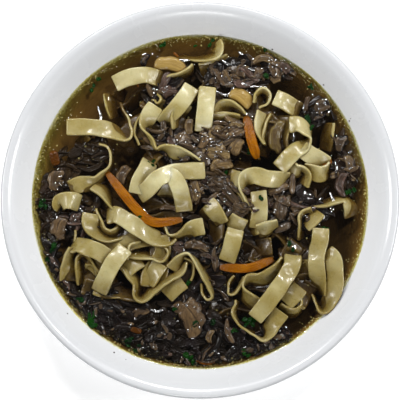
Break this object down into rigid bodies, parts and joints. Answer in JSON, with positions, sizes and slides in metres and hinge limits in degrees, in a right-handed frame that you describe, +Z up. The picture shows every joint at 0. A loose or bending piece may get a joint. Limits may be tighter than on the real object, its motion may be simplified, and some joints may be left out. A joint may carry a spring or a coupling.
{
  "type": "bowl of mushroom noodle soup",
  "caption": "Round white soup plate filled with brown broth, broad flat noodles, chopped mushrooms, carrot sticks and green herb flakes.",
  "frame": {"origin": "centre of the foot ring, on the table", "axes": "+Z up, +Y towards the far side of the plate as the picture shows it, +X to the right"},
  "size_m": [0.2, 0.2, 0.0388],
  "materials": {
    "china": "white glazed porcelain, very smooth",
    "broth": "clear brown broth with a film of fat, olive where it is thin",
    "noodle": "wet boiled egg noodle",
    "carrot": "wet boiled carrot",
    "mushroom_tan": "wet boiled mushroom, pale flesh",
    "mushroom_brown": "wet boiled mushroom, brown flesh",
    "mushroom_dark": "wet boiled mushroom, dark skin",
    "mushroom_purple": "wet boiled mushroom, purple grey skin",
    "mushroom_olive": "wet translucent mushroom slice"
  },
  "bodies": {
    "root": {"plate": "china", "broth": "broth", "noodles": "noodle", "carrot_long": "carrot", "carrot_upper": "carrot", "carrot_lower": "carrot", "carrot_left": "carrot", "carrot_right": "carrot", "carrot_front": "carrot", "mushroom_bean": "mushroom_tan", "mushroom_far_sliver": "mushroom_dark", "mushroom_gills_far": "mushroom_purple", "mushroom_cap_far": "mushroom_dark", "mushroom_slice_far_a": "mushroom_brown", "mushroom_slice_far_b": "mushroom_brown", "mushroom_curly_far": "mushroom_tan", "mushroom_edge_far": "mushroom_purple", "mushroom_knob_far": "mushroom_tan", "mushroom_slab": "mushroom_brown", "mushroom_narrow_slice": "mushroom_brown", "mushroom_edge_upper_right": "mushroom_dark", "mushroom_edge_right_a": "mushroom_dark", "mushroom_edge_right_b": "mushroom_tan", "mushroom_curly_right": "mushroom_purple", "mushroom_olive_slice": "mushroom_olive", "mushroom_chunk_centre_a": "mushroom_tan", "mushroom_chunk_centre_b": "mushroom_tan", "mushroom_chopped_a": "mushroom_dark", "mushroom_chopped_b": "mushroom_brown", "mushroom_chunk_upper": "mushroom_tan", "mushroom_dark_strip": "mushroom_dark", "mushroom_stem": "mushroom_tan", "mushroom_red_strip": "mushroom_brown", "mushroom_lower_slice": "mushroom_brown", "mushroom_tan_corner": "mushroom_tan", "mushroom_left_slice": "mushroom_brown", "mushroom_left_ring_slice": "mushroom_tan", "mushroom_left_purple": "mushroom_purple", "mushroom_right_dark": "mushroom_dark", "mushroom_front_cap": "mushroom_brown", "mushroom_front_frill": "mushroom_tan", "mushroom_front_chip_a": "mushroom_dark", "mushroom_front_chip_b": "mushroom_brown", "mushroom_front_chip_c": "mushroom_dark", "mushroom_front_curl": "mushroom_tan", "mushroom_front_chip_d": "mushroom_dark", "mushroom_front_chip_e": "mushroom_purple"}
  },
  "joints": []
}
